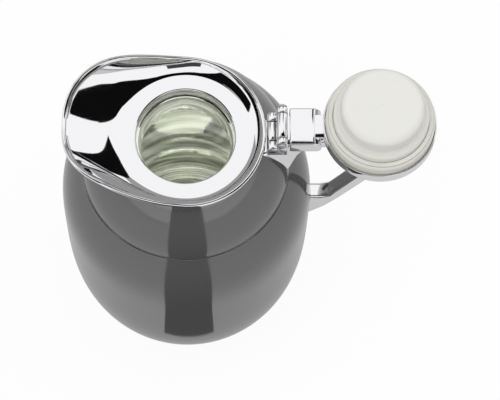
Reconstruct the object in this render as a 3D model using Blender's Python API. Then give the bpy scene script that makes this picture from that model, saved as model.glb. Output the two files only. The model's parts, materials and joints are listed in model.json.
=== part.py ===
"""Table-top vacuum carafe with a flip-over stopper lid, modelled piece by piece.

Units are metres, +Z up.  The origin is the centre of the base, on the table.
+X points to the handle and hinge, -X to the spout.  The lid is drawn thrown
fully open, lying upside down over the handle.
"""
import math

import bmesh
import bpy
from mathutils import Matrix, Vector

MM = 0.001
FIT = 0.3 * MM                      # gap between pieces that touch

# Body -----------------------------------------------------------------------
MOUTH_Z = 218.0 * MM                # table to the flat ring round the mouth
BODY_R = 75.2 * MM                  # widest radius of the bulb
WAIST_Z = 113.6 * MM                # height of the widest radius
CREASE_R = 61.5 * MM                # radius at the shoulder crease
CREASE_DROP = 39.8 * MM             # shoulder crease below the mouth ring
NECK_R = 45.0 * MM                  # top of the neck
FOOT_LIP = 3.0 * MM                 # turned-in edge under the body
FOOT_Z = 2.0 * MM                   # bottom edge above the table
BODY_WALL = 1.0 * MM
NECK_SWELL = 2.0                    # exponents of the three body curves
SHOULDER_SWELL = 3.6
BELLY_SWELL = 4.3

# Pouring collar ---------------------------------------------------------------
MOUTH_R = 28.5 * MM
RING_W = 9.0 * MM                   # flat ring round the mouth
BEAD_R = 1.2 * MM                   # rolled edge
COLLAR_WALL = 1.5 * MM
SKIRT_OVERHANG = 0.6 * MM           # skirt beyond the neck
SKIRT_DROP = 1.0 * MM               # skirt edge below the mouth ring
SPIGOT_DROP = 8.5 * MM              # spigot inside the neck
TUBE_DROP = 3.5 * MM                # tube that presses on the neck gasket
FUNNEL_CURVE = 1.8
SPOUT_REACH = 24.0 * MM             # spout tip beyond the round part of the rim
SPOUT_SQUARENESS = 2.45             # superellipse exponent of the spout in plan
SPOUT_TIP_H = 14.4 * MM             # rim heights above the mouth ring
WING_H = 21.6 * MM
RIM_BACK_H = 6.0 * MM
WING_ANGLE = 36.0                   # degrees from the spout axis to the highest point
WING_FALL = 8.0                     # how fast the rim drops behind the wings

# Glass liner --------------------------------------------------------------------
LINER_R = 50.0 * MM                 # outer flask, outside
LINER_GLASS = 1.5 * MM
VACUUM_GAP = 4.0 * MM
LINER_STEP = 2.0 * MM               # liner mouth inside the collar mouth
LINER_NECK_GAP = 1.2 * MM
LIP_DROP = 7.0 * MM                 # lip below the mouth ring
LIP_H = 2.2 * MM
LINER_NECK_DROP = 24.0 * MM         # end of the straight neck
LINER_SHOULDER_H = 32.0 * MM
LINER_FLOOR_Z = 18.0 * MM           # underside of the outer flask
LINER_DOME_H = 27.0 * MM
LINER_CLEAR = 2.0 * MM              # base opening beyond the liner
TIP_R = 3.0 * MM
TIP_H = 7.0 * MM
SPACER_W = 6.0 * MM
SPACER_H = 9.0 * MM
SPACER_Z = 66.0 * MM

# Base ---------------------------------------------------------------------------
PAD_H = 1.7 * MM
PAD_INSET = 1.6 * MM
CAP_GAP = 1.4 * MM                  # screw cap inside the base opening
CAP_FLOOR = 4.0 * MM
CAP_H = 12.0 * MM
CAP_WALL = 2.0 * MM
RING_H = 12.0 * MM
CUSHION_R = 30.0 * MM
CUSHION_BORE = 8.0 * MM
RIB_H = 3.0 * MM
RIB_T = 1.6 * MM

# Handle ---------------------------------------------------------------------------
HANDLE_HALF_W = 5.0 * MM
HANDLE_ROOT_HALF_W = 13.0 * MM
HANDLE_EDGE = 1.8 * MM              # rounding of the blade's edges
HANDLE_TOP = 3.4 * MM               # top of the arm above the mouth ring
HANDLE_REACH = 39.6 * MM            # outermost point beyond the bulb
BOW_W = 36.0 * MM                   # quarter-ellipse bow, outer edge
BOW_H = 38.0 * MM
ELBOW_R = 45.0 * MM
HANDLE_LEAN = 25.5                  # degrees of the lower arm from upright
HANDLE_T_TOP = 9.8 * MM             # blade thickness at the bow and at the foot
HANDLE_T_LOW = 7.4 * MM
HANDLE_LOW_DROP = 103.0 * MM        # lower fixing below the mouth ring
HANDLE_FOOT_H = 12.0 * MM           # arm end above the lower fixing
HANDLE_UP_DROP = 17.0 * MM          # upper fixing below the mouth ring
SCREW_R = 2.5 * MM
SCREW_HEAD_R = 4.6 * MM
SCREW_HEAD_H = 2.8 * MM
UPPER_BITE = 9.0 * MM               # length of thread inside the handle
LOWER_BITE = 6.0 * MM
WASHER_R = 7.0 * MM
WASHER_T = 1.4 * MM

# Hinge ----------------------------------------------------------------------------
HINGE_REACH = 10.0 * MM             # pin beyond the rim
HINGE_RISE = 14.5 * MM              # pin above the mouth ring
PIN_R = 1.5 * MM
PIN_HEAD_R = 2.4 * MM
PIN_HEAD_H = 1.3 * MM
PIN_TAIL = 2.0 * MM
CLIP_R = 2.9 * MM
CLIP_T = 0.8 * MM
KNUCKLE_R = 3.2 * MM
KNUCKLE_HALF_W = 7.4 * MM
EAR_T = 3.6 * MM
LOBE_R = 3.2 * MM
LOBE_X = 4.9 * MM                   # lobe axis beyond the rim
LOBE_RISE = 5.2 * MM
LOBE_HALF_W = 5.6 * MM
LOBE_GAP = 0.6 * MM
BRACKET_TOP = 4.5 * MM
BRACKET_SCREW_R = 1.2 * MM
BRACKET_SCREW_HEAD_R = 1.9 * MM
BRACKET_SCREW_HEAD_H = 1.4 * MM
BRACKET_SCREW_X = 0.9 * MM          # beyond the hinge axis
BRACKET_SCREW_Y = 4.0 * MM
BRACKET_BITE = 9.0 * MM

# Lid ------------------------------------------------------------------------------
FLANGE_W = 5.2 * MM                 # lid shell beyond the plug
SHELL_WALL = 1.0 * MM
SHELL_DOME = 9.0 * MM
SHELL_SIDE = 8.0 * MM
FACE_LIFT = 1.6 * MM                # closed stopper flange above the mouth ring
FLANGE_H = 11.6 * MM
FLANGE_PLATE = 2.5 * MM
FLANGE_ROUND = 2.4 * MM
PLUG_CLEAR = 1.5 * MM               # plug inside the mouth
PLUG_H = 6.0 * MM
PLUG_ROUND = 2.2 * MM
BOSS_CLEAR = 3.2 * MM               # boss inside the liner mouth
SPACER_GAP = 0.35 * MM              # liner spacer under the outer flask
ARM_SCREW_INSET = 4.5 * MM          # arm screws from the inner end of the tongue
ARM_BOSS_R = 3.2 * MM               # flange bosses that the arm screws enter
SHELL_LIP = 3.2 * MM                # shell edge above the foot of the flange
BOSS_H = 12.5 * MM
BOSS_ROUND = 4.0 * MM
PLUG_WALL = 2.0 * MM
PLUG_TIP = 7.0 * MM                 # solid tip beyond the screw bore
POST_R = 5.0 * MM
GASKET_H = 1.1 * MM
GASKET_W = 2.2 * MM
ARM_HALF_W = 11.2 * MM
ARM_GAP = 4.2 * MM                  # hinge axis to the face of the arm block
ARM_TOP = 15.2 * MM                 # above the mouth ring, lid open
ARM_ROUND = 5.5 * MM
TONGUE_HALF_W = 7.0 * MM
TONGUE_T = 2.4 * MM
TONGUE_REACH = 12.5 * MM
ARM_SCREW_R = 1.3 * MM
ARM_SCREW_HEAD_R = 2.3 * MM
ARM_SCREW_HEAD_H = 1.6 * MM
ARM_SCREW_Y = 3.6 * MM
STOPPER_SCREW_R = 1.9 * MM
STOPPER_SCREW_HEAD_R = 4.0 * MM
STOPPER_SCREW_HEAD_H = 2.0 * MM

# Facets round a full turn
BODY_STEPS = 40
COLLAR_STEPS = 48
FLASK_STEPS = 28
LID_STEPS = 36
SMALL_STEPS = 12

# Derived places -------------------------------------------------------------------
NECK_TOP = MOUTH_Z - SKIRT_DROP - FIT
CREASE_Z = MOUTH_Z - CREASE_DROP
SKIRT_R = NECK_R + SKIRT_OVERHANG
COLLAR_R = NECK_R                   # rim at the hinge side
RING_R = MOUTH_R + RING_W
LINER_MOUTH_R = MOUTH_R - LINER_STEP
BASE_OPENING_R = LINER_R + LINER_CLEAR
FOOT_R = BASE_OPENING_R + FOOT_LIP
PLUG_R = MOUTH_R - PLUG_CLEAR
BOSS_R = LINER_MOUTH_R - BOSS_CLEAR
SHELL_R = PLUG_R + FLANGE_W
HINGE_X = COLLAR_R + HINGE_REACH
HINGE_Z = MOUTH_Z + HINGE_RISE
LID_X = 2.0 * HINGE_X               # lid centre when thrown open
FACE_Z = 2.0 * HINGE_Z - (MOUTH_Z + FACE_LIFT)   # stopper flange, lid open
PIVOT = Vector((HINGE_X, 0.0, HINGE_Z))
EAR_OUT = KNUCKLE_HALF_W + FIT + EAR_T
SEAT_Z = MOUTH_Z - SKIRT_DROP - 2.0 * FIT        # handle root, under the bracket


# Helpers ----------------------------------------------------------------------------
def clear_scene():
    for obj in list(bpy.data.objects):
        bpy.data.objects.remove(obj, do_unlink=True)


def material(name, color, metallic, roughness):
    mat = bpy.data.materials.new(name)
    mat.use_nodes = True
    shader = mat.node_tree.nodes["Principled BSDF"]
    shader.inputs["Base Color"].default_value = (*color, 1.0)
    shader.inputs["Metallic"].default_value = metallic
    shader.inputs["Roughness"].default_value = roughness
    mat.diffuse_color = (*color, 1.0)
    return mat


def add_object(name, bm, mat):
    """Turn a bmesh into a named, smooth-shaded object."""
    bmesh.ops.recalc_face_normals(bm, faces=bm.faces)
    mesh = bpy.data.meshes.new(name)
    bm.to_mesh(mesh)
    bm.free()
    mesh.shade_smooth()
    mesh.set_sharp_from_angle(angle=math.radians(35.0))
    obj = bpy.data.objects.new(name, mesh)
    bpy.context.scene.collection.objects.link(obj)
    if mat is not None:
        mesh.materials.append(mat)
    return obj


def lathe(name, outline, mat, steps=BODY_STEPS, place=None, closed=True):
    """Spin an (r, z) outline about Z; place moves the finished solid."""
    bm = bmesh.new()
    verts = [bm.verts.new((r, 0.0, z)) for r, z in outline]
    edges = [bm.edges.new(pair) for pair in zip(verts, verts[1:])]
    if closed:
        edges.append(bm.edges.new((verts[-1], verts[0])))
    bmesh.ops.spin(bm, geom=verts + edges, axis=(0, 0, 1), cent=(0, 0, 0),
                   angle=2.0 * math.pi, steps=steps, use_merge=True)
    bmesh.ops.remove_doubles(bm, verts=bm.verts, dist=0.001 * MM)
    if place is not None:
        bmesh.ops.transform(bm, matrix=place, verts=bm.verts)
    return add_object(name, bm, mat)


def skin(rings, name, mat, looped):
    """Bridge rings of points; looped joins the last ring to the first."""
    bm = bmesh.new()
    rows = [[bm.verts.new(point) for point in ring] for ring in rings]
    count = len(rows[0])
    pairs = list(zip(rows, rows[1:]))
    if looped:
        pairs.append((rows[-1], rows[0]))
    for low, high in pairs:
        for i in range(count):
            j = (i + 1) % count
            bm.faces.new((low[i], low[j], high[j], high[i]))
    if not looped:
        bm.faces.new(rows[0])
        bm.faces.new(rows[-1])
    return add_object(name, bm, mat)


def prism(name, outline, half_width, mat, centre_y=0.0):
    """Extrude an (x, z) outline along Y."""
    bm = bmesh.new()
    face = bm.faces.new([bm.verts.new((x, centre_y - half_width, z)) for x, z in outline])
    grown = bmesh.ops.extrude_face_region(bm, geom=[face])
    moved = [item for item in grown["geom"] if isinstance(item, bmesh.types.BMVert)]
    bmesh.ops.translate(bm, vec=(0.0, 2.0 * half_width, 0.0), verts=moved)
    return add_object(name, bm, mat)


def bevel(obj, width, segments=2):
    mod = obj.modifiers.new("round", "BEVEL")
    mod.width = width
    mod.segments = segments
    mod.limit_method = "ANGLE"
    mod.angle_limit = math.radians(50.0)


def combine(target, other, operation):
    """Boolean that keeps its operand in the scene as a hidden guide."""
    mod = target.modifiers.new(other.name, "BOOLEAN")
    mod.operation = operation
    mod.solver = "EXACT"
    mod.object = other
    other.hide_render = True
    other.display_type = "WIRE"


def rod(name, radius, start, end, steps=SMALL_STEPS):
    """Plain cylinder between two points, used as a cutter or a boss."""
    start = Vector(start)
    axis = Vector(end) - start
    turn = axis.to_track_quat("Z", "Y").to_matrix().to_4x4()
    outline = ((0.0, 0.0), (radius, 0.0), (radius, axis.length), (0.0, axis.length))
    return lathe(name, outline, None, steps, Matrix.Translation(start) @ turn, closed=False)


def screw(name, head_r, head_h, shank_r, length, seat, direction, mat):
    """Pan-head screw: seat is under the head, direction runs to the tip."""
    outline = ((0.0, length), (shank_r, length), (shank_r, 0.0), (head_r, 0.0),
               (head_r, -0.5 * head_h), (0.75 * head_r, -head_h), (0.0, -head_h))
    turn = Vector(direction).to_track_quat("Z", "Y").to_matrix().to_4x4()
    return lathe(name, outline, mat, SMALL_STEPS, Matrix.Translation(seat) @ turn, closed=False)


def arc(centre, radius, start, end, count):
    """Points on a circle between two angles in degrees, both ends included."""
    points = []
    for i in range(count):
        angle = math.radians(start + (end - start) * i / (count - 1))
        points.append((centre[0] + radius * math.cos(angle), centre[1] + radius * math.sin(angle)))
    return points


# Body -------------------------------------------------------------------------------
def body_radius(z):
    """Outer radius of the body at a height above the table."""
    if z >= CREASE_Z:
        t = (NECK_TOP - min(z, NECK_TOP)) / (NECK_TOP - CREASE_Z)
        return NECK_R + (CREASE_R - NECK_R) * (1.0 - (1.0 - t) ** NECK_SWELL)
    if z >= WAIST_Z:
        t = (CREASE_Z - z) / (CREASE_Z - WAIST_Z)
        return CREASE_R + (BODY_R - CREASE_R) * (1.0 - (1.0 - t) ** SHOULDER_SWELL)
    t = (WAIST_Z - max(z, FOOT_Z)) / (WAIST_Z - FOOT_Z)
    return FOOT_R + (BODY_R - FOOT_R) * (1.0 - t ** BELLY_SWELL)


def body_normal(z):
    """Outward direction of the body wall on the handle side."""
    step = 1.0 * MM
    slope = (body_radius(z + step) - body_radius(z - step)) / (2.0 * step)
    return Vector((1.0, 0.0, -slope)).normalized()


def shoulder_heights():
    """Profile heights from the neck down to the crease."""
    low = CREASE_Z + 0.5 * FIT
    return [NECK_TOP + (low - NECK_TOP) * i / 4 for i in range(5)]


def bulb_heights():
    """Profile heights below the crease, closer together where it curves."""
    top = CREASE_Z - 0.5 * FIT
    upper = [top + (WAIST_Z - top) * i / 5 for i in range(6)]
    return upper + [WAIST_Z + (FOOT_Z - WAIST_Z) * (i / 8) ** 0.7 for i in range(1, 9)]


def drill_body(body, drop):
    """Screw hole for the handle, square to the wall."""
    z = MOUTH_Z - drop
    wall = Vector((body_radius(z), 0.0, z))
    reach = body_normal(z) * 6.0 * MM
    combine(body, rod("body_hole", SCREW_R + FIT, wall - reach, wall + reach), "DIFFERENCE")


def make_body(mat):
    """Shoulder and bulb, two pressings that meet at the crease."""
    heights = shoulder_heights()
    outline = [(body_radius(z), z) for z in heights]
    outline += [(body_radius(z) - BODY_WALL, z) for z in heights[::-1]]
    drill_body(lathe("shoulder_shell", outline, mat), HANDLE_UP_DROP)

    heights = bulb_heights()
    foot_top = FOOT_Z + BODY_WALL
    outline = [(body_radius(z), z) for z in heights]
    outline += [(BASE_OPENING_R, FOOT_Z), (BASE_OPENING_R, foot_top),
                (body_radius(foot_top) - BODY_WALL, foot_top)]
    inside = [z for z in heights[1::2][::-1] if z > FOOT_Z + 3.0 * BODY_WALL]
    outline += [(body_radius(z) - BODY_WALL, z) for z in inside + [heights[0]]]
    drill_body(lathe("body_shell", outline, mat), HANDLE_LOW_DROP)


# Pouring collar -----------------------------------------------------------------------
def rim_at(angle):
    """Rim radius and height at an angle from the spout axis, in degrees."""
    turn = math.radians(min(angle, 90.0))
    power = SPOUT_SQUARENESS
    along = abs(math.cos(turn) / (COLLAR_R + SPOUT_REACH)) ** power
    across = abs(math.sin(turn) / COLLAR_R) ** power
    radius = (along + across) ** (-1.0 / power)
    if angle < WING_ANGLE:
        rise = math.sin(math.radians(90.0 * angle / WING_ANGLE)) ** 2
        return radius, SPOUT_TIP_H + (WING_H - SPOUT_TIP_H) * rise
    t = (angle - WING_ANGLE) / (180.0 - WING_ANGLE)
    fall = (1.0 - t) ** WING_FALL * (1.0 + WING_FALL * t)
    return radius, RIM_BACK_H + (WING_H - RIM_BACK_H) * fall


def collar_section(angle):
    """Closed (r, height above the mouth ring) section of the collar."""
    rim_r, rim_h = rim_at(angle)

    def funnel(r):
        t = min(max((r - RING_R) / (rim_r - RING_R), 0.0), 1.0)
        return rim_h * t ** FUNNEL_CURVE

    edge = 1.0 * MM
    tube_r = MOUTH_R + COLLAR_WALL
    spigot_r = NECK_R - BODY_WALL - FIT
    section = [(MOUTH_R, -TUBE_DROP), (MOUTH_R, -edge), (MOUTH_R + 0.3 * edge, -0.3 * edge),
               (MOUTH_R + edge, 0.0), (RING_R, 0.0)]
    for t in (0.3, 0.55, 0.8):
        r = RING_R + (rim_r - RING_R) * t
        section.append((r, funnel(r)))
    section += arc((rim_r, rim_h), BEAD_R, 155.0, -75.0, 5)
    under_r, under_h = section[-1]
    skirt_h = max(funnel(SKIRT_R) - COLLAR_WALL, -SKIRT_DROP + 0.4 * MM)
    for t in (0.25, 0.55, 1.0):
        r = under_r + (SKIRT_R - under_r) * t
        blend = under_h + (skirt_h - under_h) * t
        section.append((r, min(blend, funnel(r) - COLLAR_WALL * 1.1) if t < 1.0 else skirt_h))
    section += [(SKIRT_R, -SKIRT_DROP), (spigot_r, -SKIRT_DROP), (spigot_r, -SPIGOT_DROP),
                (spigot_r - COLLAR_WALL, -SPIGOT_DROP), (spigot_r - COLLAR_WALL, -COLLAR_WALL),
                (tube_r, -COLLAR_WALL), (tube_r, -TUBE_DROP)]
    return section


def make_collar(mat):
    rings = []
    for i in range(COLLAR_STEPS):
        turn = 360.0 * i / COLLAR_STEPS
        section = collar_section(min(turn, 360.0 - turn))
        heading = math.radians(180.0 - turn)
        rings.append([(r * math.cos(heading), r * math.sin(heading), MOUTH_Z + h)
                      for r, h in section])
    skin(rings, "pouring_collar", mat, looped=True)


def make_neck_gasket(mat):
    low = MOUTH_Z - LIP_DROP + FIT
    high = MOUTH_Z - TUBE_DROP - FIT
    inner = MOUTH_R + 0.2 * MM
    outer = LINER_MOUTH_R + 2.0 * LINER_GLASS + LINER_NECK_GAP + 2.0 * MM
    lathe("neck_gasket", ((inner, low), (outer, low), (outer, high), (inner, high)), mat, FLASK_STEPS)


# Liner ----------------------------------------------------------------------------------
def flask_outline(neck_r, belly_r, floor_z, dome_h):
    """One wall surface of a flask, from the neck down to the axis."""
    neck_low = MOUTH_Z - LINER_NECK_DROP
    points = [(neck_r, neck_low)]
    for i in range(1, 6):
        t = i / 5
        blend = 0.5 - 0.5 * math.cos(math.pi * t)
        points.append((neck_r + (belly_r - neck_r) * blend, neck_low - LINER_SHOULDER_H * t))
    for i in range(5):
        angle = math.radians(90.0 * i / 4)
        points.append((belly_r * math.cos(angle), floor_z + dome_h * (1.0 - math.sin(angle))))
    points[-1] = (0.0, floor_z)
    return points


def flask_floor(r):
    """Underside of the outer flask at a radius."""
    return LINER_FLOOR_Z + LINER_DOME_H * (1.0 - math.sqrt(1.0 - (r / LINER_R) ** 2))


def make_liner(glass, pad):
    steps = FLASK_STEPS
    inner_neck = LINER_MOUTH_R + LINER_GLASS
    outer_neck = inner_neck + LINER_NECK_GAP
    lip_r = outer_neck + LINER_GLASS
    lip = MOUTH_Z - LIP_DROP
    inset = LINER_GLASS + VACUUM_GAP
    inner_belly = LINER_R - inset
    inner_floor = LINER_FLOOR_Z + inset
    dome = LINER_DOME_H - inset

    inside = flask_outline(LINER_MOUTH_R, inner_belly - LINER_GLASS,
                           inner_floor + LINER_GLASS, dome)
    outside = flask_outline(inner_neck, inner_belly, inner_floor, dome)
    mouth = [(inner_neck, lip - LIP_H), (lip_r, lip - LIP_H)]
    mouth += arc((0.5 * (lip_r + LINER_MOUTH_R), lip - LIP_H),
                 0.5 * (lip_r - LINER_MOUTH_R), 0.0, 180.0, 5)[1:-1]
    mouth.append((LINER_MOUTH_R, lip - LIP_H))
    lathe("liner_inner_flask", outside[::-1] + mouth + inside, glass, steps, closed=False)

    inside = flask_outline(outer_neck, LINER_R - LINER_GLASS, LINER_FLOOR_Z + LINER_GLASS,
                           LINER_DOME_H - LINER_GLASS)
    outside = flask_outline(lip_r, LINER_R, LINER_FLOOR_Z, LINER_DOME_H)[:-1]
    top = lip - LIP_H - FIT
    tip = [(TIP_R, flask_floor(TIP_R)), (0.7 * TIP_R, LINER_FLOOR_Z - 0.6 * TIP_H),
           (0.0, LINER_FLOOR_Z - TIP_H)]
    outline = tip[::-1] + outside[::-1] + [(lip_r, top), (outer_neck, top)] + inside
    lathe("liner_outer_flask", outline, glass, steps, closed=False)

    for i in range(3):
        low = inner_belly + FIT
        high = LINER_R - LINER_GLASS - FIT - SPACER_GAP
        half = SPACER_H / 2.0
        outline = ((low, SPACER_Z - half), (high, SPACER_Z - half),
                   (high, SPACER_Z + half), (low, SPACER_Z + half))
        spacer = prism(f"liner_spacer_{i + 1}", outline, SPACER_W / 2.0, pad)
        spacer.rotation_euler = (0.0, 0.0, math.radians(60.0 + 120.0 * i))


# Base -----------------------------------------------------------------------------------
def make_base(plastic, rubber, cushion_mat):
    cap_r = BASE_OPENING_R - CAP_GAP
    cap_top = FOOT_Z + CAP_FLOOR
    pad_r = cap_r - PAD_INSET
    lathe("base_pad", ((0.0, 0.0), (pad_r, 0.0), (pad_r, PAD_H), (0.0, PAD_H)),
          rubber, closed=False)

    rib = CUSHION_R + FIT
    rim = cap_r - CAP_WALL
    lathe("base_cap", (
        (0.0, FOOT_Z), (cap_r, FOOT_Z), (cap_r, FOOT_Z + CAP_H), (rim, FOOT_Z + CAP_H),
        (rim, cap_top), (rib + RIB_T, cap_top), (rib + RIB_T, cap_top + RIB_H),
        (rib, cap_top + RIB_H), (rib, cap_top), (0.0, cap_top)), plastic, closed=False)

    low = FOOT_Z + BODY_WALL + FIT
    high = low + RING_H
    ring_r = body_radius(FOOT_Z + BODY_WALL) - BODY_WALL - FIT
    lathe("base_ring", ((cap_r + FIT, low), (ring_r, low), (ring_r, high), (cap_r + FIT, high)),
          plastic)

    under = [(r, flask_floor(r) - FIT) for r in (CUSHION_R, 0.7 * CUSHION_R, CUSHION_BORE)]
    seat = cap_top + FIT
    lathe("liner_cushion", [(CUSHION_BORE, seat), (CUSHION_R, seat)] + under, cushion_mat,
          FLASK_STEPS)


# Handle -----------------------------------------------------------------------------------
def handle_blade():
    """Outer and inner edge points of the bow, the elbow and the lower arm."""
    def station(x, z, normal, share):
        thick = HANDLE_T_TOP + (HANDLE_T_LOW - HANDLE_T_TOP) * share
        return ((x, z), (x - normal[0] * thick, z - normal[1] * thick), HANDLE_HALF_W)

    outermost = BODY_R + HANDLE_REACH
    bow_x = outermost - BOW_W
    bow_z = MOUTH_Z + HANDLE_TOP - BOW_H
    stations = []
    for i in range(9):
        turn = math.radians(90.0 - 90.0 * i / 8)
        normal = Vector((math.cos(turn) / BOW_W, math.sin(turn) / BOW_H)).normalized()
        stations.append(station(bow_x + BOW_W * math.cos(turn), bow_z + BOW_H * math.sin(turn),
                                normal, 0.4 * i / 8))
    for i in range(1, 5):
        turn = -math.radians(HANDLE_LEAN * i / 4)
        normal = (math.cos(turn), math.sin(turn))
        x = outermost + ELBOW_R * (normal[0] - 1.0)
        stations.append(station(x, bow_z + ELBOW_R * normal[1], normal, 0.4 + 0.2 * i / 4))
    end_z = MOUTH_Z - HANDLE_LOW_DROP + HANDLE_FOOT_H
    start_z = bow_z + ELBOW_R * normal[1]
    for i in range(1, 4):
        z = start_z + (end_z - start_z) * i / 3
        lean = math.tan(math.radians(HANDLE_LEAN)) * (start_z - z)
        stations.append(station(x - lean, z, normal, 0.6 + 0.4 * i / 3))
    return stations


def handle_stations():
    """Pairs of outer and inner edge points, with the half width at each."""
    def below(x, drop):
        return (x, MOUTH_Z - drop * MM)

    step_x = HINGE_X + ARM_GAP - 0.1 * MM
    top = MOUTH_Z + HANDLE_TOP
    root = [                        # saddle on the neck, then the step up past the bracket
        ((NECK_R - 6.0 * MM, SEAT_Z), below(CREASE_R - 8.0 * MM, 40.0), HANDLE_ROOT_HALF_W),
        ((NECK_R + 5.0 * MM, SEAT_Z), below(CREASE_R - 1.0 * MM, 27.0), 0.75 * HANDLE_ROOT_HALF_W),
        ((step_x - 0.6 * MM, SEAT_Z), below(CREASE_R + 3.0 * MM, 16.5), 1.25 * HANDLE_HALF_W),
        ((step_x, top), below(CREASE_R + 3.5 * MM, 15.8), 1.2 * HANDLE_HALF_W),
        ((HINGE_X + 11.0 * MM, top), below(HINGE_X + 13.0 * MM, 10.5), HANDLE_HALF_W),
    ]
    crotch = MOUTH_Z - HANDLE_LOW_DROP + HANDLE_FOOT_H + 0.9 * MM
    foot = [                        # flares where the arm meets the bulb
        (below(BODY_R + 9.4 * MM, 105.5), (BODY_R + 5.6 * MM, crotch), HANDLE_HALF_W),
        (below(BODY_R + 0.8 * MM, 116.5), (BODY_R - 1.0 * MM, crotch), HANDLE_HALF_W),
        (below(BODY_R - 7.0 * MM, 123.0), (BODY_R - 10.0 * MM, crotch), HANDLE_HALF_W),
    ]
    return root + handle_blade() + foot


def handle_ring(outer, inner, half_w):
    """Rounded rectangle across the blade at one station."""
    mid = Vector((0.5 * (outer[0] + inner[0]), 0.0, 0.5 * (outer[1] + inner[1])))
    across = Vector((outer[0] - inner[0], 0.0, outer[1] - inner[1]))
    half_t = 0.5 * across.length
    across.normalize()
    points = []
    for corner, (sx, sy) in enumerate(((1, 1), (-1, 1), (-1, -1), (1, -1))):
        for k in range(3):
            angle = math.radians(90.0 * corner + 45.0 * k)
            u = sx * (half_t - HANDLE_EDGE) + HANDLE_EDGE * math.cos(angle)
            v = sy * (half_w - HANDLE_EDGE) + HANDLE_EDGE * math.sin(angle)
            points.append(mid + across * u + Vector((0.0, v, 0.0)))
    return points


def make_handle(chrome, steel):
    rings = [handle_ring(*station) for station in handle_stations()]
    handle = skin(rings, "handle", chrome, looped=False)
    low = MOUTH_Z - HANDLE_LOW_DROP - 40.0 * MM
    heights = [z for z in shoulder_heights() + bulb_heights() if z > low]
    outline = [(0.0, MOUTH_Z + 1.0 * MM), (SKIRT_R + FIT, MOUTH_Z + 1.0 * MM),
               (SKIRT_R + FIT, MOUTH_Z - SKIRT_DROP)]
    outline += [(body_radius(z) + FIT, z) for z in heights]
    outline.append((0.0, heights[-1]))
    combine(handle, lathe("body_envelope", outline, None, closed=False), "DIFFERENCE")

    fixings = (("upper", HANDLE_UP_DROP, UPPER_BITE), ("lower", HANDLE_LOW_DROP, LOWER_BITE))
    for name, drop, bite in fixings:
        z = MOUTH_Z - drop
        normal = body_normal(z)
        wall = Vector((body_radius(z), 0.0, z))
        bore = rod(f"handle_{name}_bore", SCREW_R + FIT, wall - normal * 5.0 * MM,
                   wall + normal * (bite + 1.0 * MM))
        combine(handle, bore, "DIFFERENCE")
        hollow = WASHER_R ** 2 / (2.0 * (body_radius(z) - BODY_WALL))
        seat = wall - normal * (BODY_WALL + FIT + hollow + WASHER_T)
        turn = normal.to_track_quat("Z", "Y").to_matrix().to_4x4()
        lathe(f"handle_{name}_washer",
              ((SCREW_R + FIT, 0.0), (WASHER_R, 0.0), (WASHER_R, WASHER_T),
               (SCREW_R + FIT, WASHER_T)), steel, SMALL_STEPS, Matrix.Translation(seat) @ turn)
        head = seat - normal * FIT
        screw(f"handle_{name}_screw", SCREW_HEAD_R, SCREW_HEAD_H, SCREW_R,
              (wall - head).length + bite, head, normal, steel)
    for side in (-1, 1):
        spot = Vector((HINGE_X + BRACKET_SCREW_X, side * BRACKET_SCREW_Y, SEAT_Z))
        bore = rod("bracket_screw_bore", BRACKET_SCREW_R + FIT, spot + Vector((0, 0, 5 * MM)),
                   spot - Vector((0, 0, BRACKET_BITE)))
        combine(handle, bore, "DIFFERENCE")


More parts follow.
